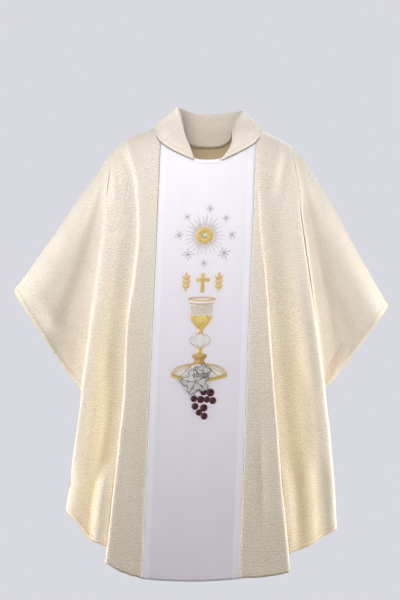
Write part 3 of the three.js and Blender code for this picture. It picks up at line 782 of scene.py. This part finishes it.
def cream_cloth(name, light, dark, edge, deep=1.0):
    """Cream jacquard: wavy ribs across the cloth, a fine weave, painted golden reflected light in the folds, painted
    shade towards the hem, a stitched hem.
    """
    m = Nodes(name)
    at, across, down = m.cloth()
    wander = m.times(m.math("SUBTRACT", m.cloud(m.stretch(at, 0.11, 0.07), 1.0, 3.0, 0.7), 0.5), 18.0)
    rib = m.wave(m.plus(down, wander), RIB_PITCH)
    gaps = m.cloud(m.stretch(at, 0.2, 0.22), 1.0, 2.0, 0.6)
    speck = m.cloud(m.stretch(at, 0.32, 0.42), 1.0, 1.0)
    broken = m.times(rib, m.scaled(gaps, 2.4, -0.6))
    broken = m.plus(broken, m.times(m.math("SUBTRACT", speck, 0.5), 3.4))
    rib01 = m.clamp(broken, 0.5, 0.5)
    fine = m.times(m.times(m.wave(down, 0.9), m.wave(across, 1.1)), 0.5)
    cloudy = m.cloud(m.stretch(at, 0.012, 0.006), 1.0, 3.0)
    color = m.blend(rib01, dark, light)
    color = m.blend(m.times(cloudy, 0.14), color, rgb(240, 222, 184))
    dapple = m.clamp(m.cloud(m.stretch(at, 0.17, 0.12), 1.0, 1.0), 4.0, -1.5)
    amount = m.times(dapple, m.scaled(m.attribute("arm"), 0.06, 0.11))
    color = m.blend(amount, color, (0.62, 0.60, 0.55, 1), "MULTIPLY")
    broad = m.clamp(m.cloud(m.stretch(m.object(), 0.30, 0.30, 0.42), 1.0, 1.0), 5.0, -2.0)
    sideways = m.scaled(m.attribute("arm"), 0.30, 0.06)
    color = m.blend(m.times(broad, sideways), color, (0.66, 0.64, 0.60, 1), "MULTIPLY")
    # Painted golden reflected light in the folds, scaled by deep.
    fold = m.times(m.attribute("painted_fold_light"), deep)
    color = m.blend(fold, color, FOLD_REFLECTED_LIGHT, "MULTIPLY")
    # Painted shade: the cream darker and warmer towards the hem.
    color = m.blend(m.lowness(), color, WARM_SHADE_LOW, "MULTIPLY")
    rim = m.math("LESS_THAN", m.attribute("hem"), 0.0024)
    color = m.blend(m.times(rim, 0.8), color, edge)
    sewn = m.dashes(m.hem_line(), across, down)
    color = m.blend(m.times(sewn, 0.6), color, rgb(176, 150, 108))
    height = m.plus(m.times(rib01, 0.42), m.times(fine, 0.10))
    height = m.math("SUBTRACT", height, m.times(sewn, 0.5))
    creases = m.cloud(m.stretch(at, 0.02, 0.009), 1.0, 3.0)
    under = m.bump(creases, 0.004, 0.35)
    normal = m.bump(height, 0.0010, 0.6, under)
    rough = m.scaled(rib01, -0.14, 0.62)
    return m.finish(
        color, normal, Roughness=rough, Sheen_Weight=0.55, Sheen_Roughness=0.35,
        Sheen_Tint=rgb(255, 250, 238), Specular_IOR_Level=0.35,
    )


def satin(name, color_a, color_b):
    """White satin-faced cloth: smooth, a faint warp line, and soft creases."""
    m = Nodes(name)
    at, across, down = m.cloth()
    warp = m.wave(across, 0.8)
    slub = m.cloud(m.stretch(at, 0.5, 0.02), 1.0, 2.0)
    cloudy = m.cloud(m.stretch(at, 0.02, 0.008), 1.0, 3.0)
    color = m.blend(cloudy, color_a, color_b)
    # Painted shade: the satin darker and cooler towards the hem.
    color = m.blend(m.lowness(), color, COOL_SHADE_LOW, "MULTIPLY")
    turned_in = m.math("LESS_THAN", m.attribute("seam"), 0.019)
    color = m.blend(m.times(turned_in, 0.4), color, rgb(246, 247, 255))
    seam = m.math("COMPARE", m.attribute("seam"), SEAM_STITCH, 0.0006)
    sewn = m.dashes(m.math("MAXIMUM", m.hem_line(), seam), across, down)
    color = m.blend(m.times(sewn, 0.35), color, rgb(186, 184, 198))
    height = m.plus(m.times(warp, 0.06), m.times(slub, 0.3))
    height = m.math("SUBTRACT", height, m.times(sewn, 0.5))
    creases = m.cloud(m.stretch(at, 0.018, 0.007), 1.0, 3.0)
    under = m.bump(creases, 0.005, 0.3)
    normal = m.bump(height, 0.0008, 0.4, under)
    rough = m.scaled(slub, 0.12, 0.40)
    return m.finish(
        color, normal, Roughness=rough, Sheen_Weight=0.25, Sheen_Roughness=0.4, Specular_IOR_Level=0.4,
    )


def lining_cloth(name):
    m = Nodes(name)
    at, across, down = m.cloth()
    twill = m.wave(m.plus(across, down), 1.0)
    cloudy = m.cloud(m.stretch(at, 0.01, 0.006), 1.0, 3.0)
    color = m.blend(cloudy, rgb(228, 206, 160), rgb(238, 224, 190))
    normal = m.bump(twill, 0.0004, 0.3)
    return m.finish(color, normal, Roughness=0.55, Sheen_Weight=0.2, Specular_IOR_Level=0.3)


def thread(name, light, dark, metallic, pitch, tilt):
    """Embroidery in satin stitch: fine raised threads side by side, with random tone and painted light and shade:
    lighter on top and painted shade dark between them.
    """
    m = Nodes(name)
    at = m.object()
    turned = m.node("ShaderNodeMapping")
    m.set(turned.inputs["Vector"], at)
    turned.inputs["Rotation"].default_value = (0, math.radians(tilt), 0)
    parts = m.node("ShaderNodeSeparateXYZ")
    m.set(parts.inputs[0], turned.outputs[0])
    sway = m.cloud(at, 0.12, 1.0)
    line = m.scaled(sway, 1.4, parts.outputs[0])
    wave01 = m.scaled(m.wave(line, pitch), 0.5, 0.5)
    tint = m.cloud(at, 0.22, 2.0)
    # Painted shade between the threads and lighter tops, mixed with random tone.
    color = m.blend(m.scaled(wave01, 0.6, m.times(tint, 0.4)), dark, light)
    normal = m.bump(wave01, 0.0005, 0.7)
    rough = m.scaled(tint, 0.2, 0.28)
    return m.finish(color, normal, Metallic=metallic, Roughness=rough, Specular_IOR_Level=0.5)


# Each thread: light colour, dark colour, metallic, pitch in millimetres, tilt in degrees.
THREADS = {
    "gold_thread": ((255, 230, 148), (198, 156, 72), 0.3, 2.6, 25),
    "silver_thread": ((236, 234, 230), (176, 172, 166), 0.35, 1.0, -35),
    "silver_mesh": ((250, 248, 246), (232, 226, 216), 0.05, 3.4, 45),
    "bronze_thread": ((226, 190, 112), (150, 112, 52), 0.3, 3.0, 80),
    "grey_thread": ((238, 236, 234), (172, 169, 166), 0.05, 2.2, 60),
    "net_thread": ((228, 214, 192), (188, 170, 140), 0.2, 1.0, 0),
    "ray_thread": ((206, 192, 168), (150, 134, 112), 0.3, 1.0, 0),
    "star_thread": ((190, 190, 194), (132, 132, 138), 0.3, 1.0, 0),
    "pearl_thread": ((250, 249, 252), (222, 220, 226), 0.0, 2.0, 20),
    "dark_thread": ((64, 60, 60), (30, 28, 28), 0.05, 0.9, 10),
    "wine_thread": ((88, 12, 32), (30, 3, 12), 0.1, 2.2, 30),
}


def make_materials():
    looks = {
        "cream_weave": (cream_cloth, rgb(250, 244, 236), rgb(206, 195, 179), rgb(212, 184, 118)),
        # The collar's weave takes less of the painted golden reflected light.
        "collar_weave": (cream_cloth, rgb(247, 240, 232), rgb(220, 211, 201), rgb(140, 116, 92), 0.3),
        "white_satin": (satin, rgb(243, 240, 247), rgb(235, 231, 240)),
        "white_binding": (satin, rgb(246, 246, 250), rgb(238, 238, 244)),
        "lining": (lining_cloth,),
    }
    for name, (light, dark, *rest) in THREADS.items():
        looks[name] = (thread, rgb(*light), rgb(*dark), *rest)
    return {name: make(name, *values) for name, (make, *values) in looks.items()}


# ---------------------------------------------------------------- settings a user would change
class ChasubleSettings(bpy.types.PropertyGroup):
    """Sizes and colours of the garment."""

    columns: IntProperty(name="Columns", description="Columns of cloth in each side panel", default=150, min=40)
    rows: IntProperty(name="Rows", description="Rows of cloth from shoulder to hem", default=190, min=40)
    backdrop: FloatVectorProperty(name="Backdrop", description="Colour of the floor and backdrop",
                                  subtype="COLOR", size=4, default=rgb(217, 217, 225), min=0, max=1)
    light: FloatProperty(name="Light", description="Strength of the studio lights", default=1.0, min=0)


MATERIALS = {}


def hang_cloth(word, nodes, grid, outward, slot, lining=None, thickness=CLOTH):
    """Makes a sheet of cloth that stands for CAD nodes on the one body, and says what size it was cut to."""
    obj = sheet_mesh(f"{word}_cloth", *grid, outward)
    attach(obj, "root")
    for node in nodes:
        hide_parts(node)
    obj.data.materials.append(MATERIALS[slot])
    solid = obj.modifiers.new("cloth and lining", "SOLIDIFY")
    solid.thickness = thickness * MM
    solid.offset = -1
    solid.use_even_offset = False
    if lining:
        obj.data.materials.append(MATERIALS[lining])
        solid.material_offset = 1
        solid.material_offset_rim = 0


class CHASUBLE_OT_panels(bpy.types.Operator):
    """Makes the four cream side panels, front and back"""

    bl_idname = "chasuble.panels"
    bl_label = "Side panels"

    def execute(self, context):
        s = context.scene.chasuble
        for facing, word in ((FRONT, "front"), (BACK, "back")):
            for side, where in ((LEFT, "left"), (RIGHT, "right")):
                grid = quarter(side, facing, s.columns, s.rows)
                node = f"{word}_{where}_panel"
                hang_cloth(node, [node], grid, (0, facing, 0), "cream_weave", "lining")
        return {"FINISHED"}


class CHASUBLE_OT_bands(bpy.types.Operator):
    """Makes the two white bands, front and back"""

    bl_idname = "chasuble.bands"
    bl_label = "Bands"

    def execute(self, context):
        for facing, node in ((FRONT, "front_orphrey"), (BACK, "back_orphrey")):
            grid = band(facing, context.scene.chasuble.rows)
            hang_cloth(node, [node], grid, (0, facing, 0), "white_satin", "lining")
        return {"FINISHED"}


class CHASUBLE_OT_collar(bpy.types.Operator):
    """Makes the collar, one sheet rolled over at the top, and the binding on the neck's edge"""

    bl_idname = "chasuble.collar"
    bl_label = "Collar"

    def execute(self, context):
        hang_cloth("collar", ["collar_fall", "collar_stand"], collar(60, 12), (0, 0, 1), "collar_weave", thickness=2.0)

        s = np.linspace(-1, 1, 25)[:, None] * BINDING_HALF
        k = np.linspace(0, 1, 7)[None, :]
        z = neck_height(s, FRONT) + 1.5 - BINDING * k
        roll = -1.2 - 1.6 * np.sin(math.pi * np.clip(k * 1.1, 0, 1)) ** 0.5
        x = NECK_CENTRE + s + 0 * k
        points = np.stack([x, rest_depth(x, np.minimum(z, neck_height(s, FRONT)), FRONT) + roll, z], axis=-1)
        flat = np.stack([s + 0 * k, -BINDING * k + 0 * s], axis=-1)
        grid = (points, flat, 0 * z, 60 + 0 * z, 60 + 0 * z)
        hang_cloth("neck_binding", ["neck_binding"], grid, (0, -1, 0), "white_binding", thickness=0.8)
        return {"FINISHED"}


class CHASUBLE_OT_host(bpy.types.Operator):
    """Makes the host with its ring, its burst of rays and the ring of stars"""

    bl_idname = "chasuble.host"
    bl_label = "Host, rays and stars"

    def execute(self, context):
        disc = dome("host_disc_patch", 8.2, 12, 0.22)
        for vertex in disc.data.vertices:
            vertex.co.y += HOST_Z
        sew(disc, "host_disc", "silver_thread", 0.1)

        select_only()
        bpy.ops.mesh.primitive_torus_add(major_radius=16, minor_radius=7.6, major_segments=60, minor_segments=12)
        ring = new_piece("host_ring_patch")
        for vertex in ring.data.vertices:
            vertex.co.z = vertex.co.z * 0.2 + 0.6
            vertex.co.y += HOST_Z
        edges = [threads("edge", [closed(oval(0, HOST_Z, r, r, 60))], 0.9, 1.4) for r in (9.4, 22.8)]
        sew(join("host_ring_patch", ring, *edges), "host_ring", "gold_thread", 0.1)

        rng = np.random.default_rng(3)
        rays = []
        for i in range(RAYS):
            a = 2 * math.pi * (i + rng.uniform(-0.15, 0.15)) / RAYS
            reach = (58, 40, 53, 36)[i % 4] + rng.uniform(-3, 3)
            start = 25.5 + (i % 2) * 2
            rays.append([(r * math.cos(a), HOST_Z + r * math.sin(a)) for r in (start, mix(start, reach, 0.5), reach)])
        sew(threads("ray_burst_threads", rays, 0.62, 0.3, 0.55), "ray_burst", "silver_thread", 0.0, "ray_thread")

        arms = []
        for k in range(4):
            a = math.pi * k / 4 + math.pi / 2
            reach = 1 if k % 2 == 0 else 0.78
            arms.append([(reach * math.cos(a) * q, reach * math.sin(a) * q) for q in (-1, 0, 1)])
        star = threads("star", arms, 0.046, 0.3)
        for number, (x, z, size, turn) in enumerate(STARS, 1):
            made = copied(star, f"star_{number}_threads", x, z, size, turn)
            sew(made, f"star_{number}", "silver_thread", 0.0, "star_thread")
        drop(star)
        return {"FINISHED"}


class CHASUBLE_OT_motif(bpy.types.Operator):
    """Makes the small cross and the two ears of wheat"""

    bl_idname = "chasuble.motif"
    bl_label = "Cross and wheat"

    def execute(self, context):
        top, foot = MOTIF_Z + 27, MOTIF_Z - 27
        arm, half, at = 5.2, 19, MOTIF_Z + 8
        cross = [(-arm, top), (-arm, at + arm), (-half, at + arm), (-half, at - arm), (-arm, at - arm), (-arm, foot),
                 (arm, foot), (arm, at - arm), (half, at - arm), (half, at + arm), (arm, at + arm), (arm, top)]
        sew(patch("small_cross_patch", cross, 1.3, 1.3), "small_cross", "gold_thread")

        grain = patch("grain", [(3.5 * math.sin(a) * (1.05 - 0.5 * math.cos(a)), 8 * math.cos(a))
                                for a in np.linspace(0, 2 * math.pi, 15)[:-1]], 1.4, 0.9)
        for sign, word in ((-1, "left"), (1, "right")):
            x = sign * 45
            parts = [threads("stalk", [[(x, foot), (x + 1, MOTIF_Z - 10), (x, MOTIF_Z + 14)]], 1.1, 0.4)]
            for row in range(3):
                z = MOTIF_Z - 11 + row * 12
                for way in (-1, 1):
                    parts.append(copied(grain, "grain", x + way * 6.6, z + (way > 0) * 1.5, 0.95, -way * 0.62))
            parts.append(copied(grain, "grain", x, MOTIF_Z + 23, 0.9))
            parts.append(threads("blade", [[(x, foot + 6), (x + sign * 7, foot + 11), (x + sign * 10, foot + 19)]],
                                 1.0, 0.4, 0.4))
            sew(join(f"wheat_ear_{word}_patch", *parts), f"wheat_ear_{word}", "gold_thread")
        drop(grain)
        return {"FINISHED"}


class CHASUBLE_OT_cup(bpy.types.Operator):
    """Makes the cup from its rim down to its foot"""

    bl_idname = "chasuble.cup"
    bl_label = "Cup"

    def execute(self, context):
        rim = [threads("rim", [closed(oval(0, -465, 37, 4.6))], 1.5, 1.0),
               threads("rim line", [[(-34.5, -476.5), (-12, -479), (12, -479), (34.5, -476.5)]], 1.3, 1.2)]
        sew(join("cup_rim_threads", *rim), "cup_rim", "gold_thread")
        bowl = turned([(mix(-467, -513, k), mix(35.5, 30.5, k)) for k in steps(0, 1, 6)])
        sew(patch("cup_bowl_patch", bowl, 0.8, 1.2), "cup_bowl", "silver_mesh")
        lattice = []
        for start in range(-60, 36, 6):
            line = [(start + k, -481 - k) for k in range(0, 27, 2) if abs(start + k) < 33 - k * 0.07]
            if len(line) > 1:
                lattice += [line, [(-x, z) for x, z in line]]
        sew(threads("cup_bowl_net", lattice, 0.35, 1.2), "cup_bowl", "silver_mesh", 0, "net_thread")
        scallop = [(mix(-31, 31, k), -508 - 4 * abs(math.sin(k * math.pi * 4))) for k in steps(0, 1, 32)]
        side = [(31 * (1 - k**1.7) + 7.5 * k**1.7, mix(-512, -549, k)) for k in steps(0.06, 1, 10)]
        calyx = scallop + side + [(-x, z) for x, z in reversed(side)]
        sew(patch("cup_calyx_patch", calyx, 1.6, 1.0), "cup_calyx", "gold_thread")
        sew(patch("cup_stem_upper_patch", turned([(-549.5, 7.4), (-555, 6.8), (-560, 7.8)]), 1.5, 1.2),
            "cup_stem_upper", "gold_thread")
        knop = patch("cup_knop_patch", oval(0, KNOP_Z, KNOP_WIDE, KNOP_HIGH), 0.9, 1.4)
        sew(knop, "cup_knop", "silver_thread", 0, "pearl_thread")
        ring = closed(oval(0, KNOP_Z, KNOP_WIDE + 0.4, KNOP_HIGH + 0.4))
        sew(threads("cup_knop_ring", [ring], 0.5, 1.0), "cup_knop", "silver_thread", 0, "ray_thread")
        net = [closed(oval(0, KNOP_Z, 15, KNOP_HIGH + 0.1, 32))]
        net += [[(-7, -562), (-7, -598)], [(7, -562), (7, -598)]]
        for rise in (-12, -6, 0, 6, 12):
            wide = (KNOP_WIDE - 0.5) * math.sqrt(1 - (rise / KNOP_HIGH) ** 2)
            net.append([(-wide, KNOP_Z + rise), (wide, KNOP_Z + rise)])
        sew(threads("cup_knop_net", net, 0.4, 1.0), "cup_knop", "silver_thread", 0, "net_thread")
        sew(patch("cup_stem_lower_patch", turned([(-599.5, 7), (-608, 7.2), (-616.5, 9)]), 1.5, 1.2),
            "cup_stem_lower", "gold_thread")
        collar = turned([(-617, 16), (-621, 20), (-627, 19.5), (-631, 14), (-635, 13), (-641, 15), (-646, 20)])
        sew(patch("cup_collar_patch", collar, 1.7, 1.2), "cup_collar", "bronze_thread")

        arc = lambda k, below: (k * 77, -688 - below + 15 * k * k)
        half = [(20, -645), (34, -647), (48, -650), (60, -655), (70, -662), (75, -669)]
        foot = [(-x, z) for x, z in half] + [arc(k, -2) for k in steps(-0.97, 0.97, 18)] + half[::-1]
        sew(patch("cup_foot_patch", foot, 0.9, 1.2), "cup_foot", "silver_thread", 0, "pearl_thread")
        gold = [threads("rim", [[arc(k, 4) for k in steps(-1, 1, 30)]], 3.1, 0.6),
                threads("rim top", [[arc(k, -1.5) for k in steps(-1, 1, 30)]], 1.1, 1.4)]
        gold.append(threads("ribs", [
            [(sign * x, z) for x, z in path] for sign in (-1, 1) for path in (
                [(10, -646), (16, -660), (24, -686)], [(16, -646), (32, -658), (54, -680)],
                [(20, -645), (46, -652), (62, -662), (74, -671)], [(24, -649), (44, -659), (66, -672)],
                [(20, -644), (48, -648.5), (62, -655), (73, -664), (77, -673)])
        ], 1.1, 1.3))
        sew(join("cup_foot_rim_threads", *gold), "cup_foot_rim", "gold_thread")
        return {"FINISHED"}


def leaf(x, z, wide, high, turn, lobes=5):
    """A vine leaf's outline, with pointed lobes and small teeth, and the veins that run to its lobes."""
    outline, veins = [], []
    for a in np.linspace(0, 2 * math.pi, 91)[:-1]:
        lobe = 0.60 + 0.40 * abs(math.cos(a * lobes / 2)) ** 1.4
        tooth = 1 + 0.06 * math.cos(a * lobes * 4)
        outline.append((x + wide * lobe * tooth * math.sin(a + turn), z + high * lobe * tooth * math.cos(a + turn)))
    for k in range(lobes):
        a = 2 * math.pi * k / lobes
        veins.append([(x + wide * r * math.sin(a + turn + 0.1 * r), z + high * r * math.cos(a + turn + 0.1 * r))
                      for r in (0, 0.3, 0.6, 0.92)])
        for way in (-0.42, 0.42) if wide > 30 else ():
            veins.append([(x + wide * r * math.sin(a + turn + way * (r - 0.3)),
                           z + high * r * math.cos(a + turn + way * (r - 0.3))) for r in (0.36, 0.5, 0.64)])
    return outline, veins


class CHASUBLE_OT_vine(bpy.types.Operator):
    """Makes the vine leaf laid over the cup's foot, and the bunch of grapes"""

    bl_idname = "chasuble.vine"
    bl_label = "Vine leaf and grapes"

    def execute(self, context):
        low, low_veins = leaf(-8, -694, 42, 36, math.pi + 0.35)
        high, high_veins = leaf(10, -665, 23, 21, 0.15)
        patches = [patch("leaf", low, 0.9, 0.8), patch("leaf", high, 0.9, 0.8)]
        sew(join("vine_leaf_patch", *patches), "vine_leaf", "grey_thread", 2.4)
        lines = [closed(low), closed(high), *low_veins, *high_veins[::2]]
        sew(threads("vine_leaf_veins", lines, 0.62, 1.0), "vine_leaf", "grey_thread", 2.4, "dark_thread")

        grape = dome("grape", 1, 14, 3.2)
        for number, (x, z, size) in enumerate(GRAPES, 1):
            made = copied(grape, f"grape_{number}_patch", x, z, size)
            sew(made, f"grape_{number}", "wine_thread", 0.1)
        drop(grape)
        return {"FINISHED"}


class CHASUBLE_OT_stage(bpy.types.Operator):
    """Makes the floor, the backdrop, the lights and the camera"""

    bl_idname = "chasuble.stage"
    bl_label = "Stage"

    def execute(self, context):
        s = context.scene.chasuble
        scene = context.scene
        select_only()
        bpy.ops.mesh.primitive_plane_add(size=16, location=(0, 0, STAGE_Z))
        floor = bpy.context.object
        floor.name = "floor"
        m = Nodes("backdrop")
        m.finish(rgb(120, 120, 124), Roughness=0.9, Specular_IOR_Level=0.0)
        even = m.node("ShaderNodeEmission", Color=tuple(s.backdrop), Strength=1.0)
        seen = m.node("ShaderNodeLightPath").outputs["Is Camera Ray"]
        both = m.node("ShaderNodeMixShader")
        m.set(both.inputs[0], seen)
        m.tree.links.new(m.shader.outputs[0], both.inputs[1])
        m.tree.links.new(even.outputs[0], both.inputs[2])
        m.tree.links.new(both.outputs[0], m.tree.nodes["Material Output"].inputs[0])
        floor.data.materials.append(m.material)

        world = bpy.data.worlds.new("studio")
        world.use_nodes = True
        tree = world.node_tree
        shown = tree.nodes["Background"]
        shown.inputs[0].default_value = tuple(s.backdrop)
        soft = tree.nodes.new("ShaderNodeBackground")
        soft.inputs[0].default_value = (1, 0.985, 0.97, 1)
        soft.inputs[1].default_value = WORLD_FILL * s.light
        both = tree.nodes.new("ShaderNodeMixShader")
        tree.links.new(tree.nodes.new("ShaderNodeLightPath").outputs["Is Camera Ray"], both.inputs[0])
        tree.links.new(soft.outputs[0], both.inputs[1])
        tree.links.new(shown.outputs[0], both.inputs[2])
        tree.links.new(both.outputs[0], tree.nodes["World Output"].inputs[0])
        scene.world = world
        for name, at, aim, size, power, colour in LIGHTS:
            lamp = bpy.data.lights.new(name, "AREA")
            lamp.size = size
            lamp.energy = power * s.light
            lamp.color = colour
            obj = bpy.data.objects.new(name, lamp)
            scene.collection.objects.link(obj)
            obj.visible_camera = False
            obj.location = at
            obj.rotation_euler = (Vector(aim) - Vector(at)).to_track_quat("-Z", "Y").to_euler()

        camera = bpy.data.cameras.new("camera")
        camera.sensor_fit = "VERTICAL"
        camera.sensor_height = 36
        camera.lens = 18 / (VIEW_HALF_HEIGHT / (CAMERA_DISTANCE - 0.08))
        obj = bpy.data.objects.new("camera", camera)
        scene.collection.objects.link(obj)
        obj.location = (-0.014, -CAMERA_DISTANCE, -0.468)
        obj.rotation_euler = (math.pi / 2, 0, 0)
        scene.camera = obj
        scene.view_settings.view_transform = "Standard"
        return {"FINISHED"}


class CHASUBLE_PT_panel(bpy.types.Panel):
    """Lists the steps that build the garment."""

    bl_label = "Chasuble"
    bl_idname = "CHASUBLE_PT_panel"
    bl_space_type = "VIEW_3D"
    bl_region_type = "UI"
    bl_category = "Chasuble"

    def draw(self, context):
        for name in ChasubleSettings.__annotations__:
            self.layout.prop(context.scene.chasuble, name)
        for step in STEPS:
            self.layout.operator(step.bl_idname)


STEPS = (CHASUBLE_OT_stage, CHASUBLE_OT_bands, CHASUBLE_OT_panels, CHASUBLE_OT_collar, CHASUBLE_OT_host,
         CHASUBLE_OT_motif, CHASUBLE_OT_cup, CHASUBLE_OT_vine)
CLASSES = (ChasubleSettings, *STEPS, CHASUBLE_PT_panel)


def register():
    for cls in CLASSES:
        bpy.utils.register_class(cls)
    bpy.types.Scene.chasuble = PointerProperty(type=ChasubleSettings)


def unregister():
    del bpy.types.Scene.chasuble
    for cls in reversed(CLASSES):
        bpy.utils.unregister_class(cls)


def main():
    register()
    MATERIALS.update(make_materials())
    for step in STEPS:
        group, word = step.bl_idname.split(".")
        getattr(getattr(bpy.ops, group), word)()
    bpy.context.view_layer.update()


if __name__ == "__main__":
    main()
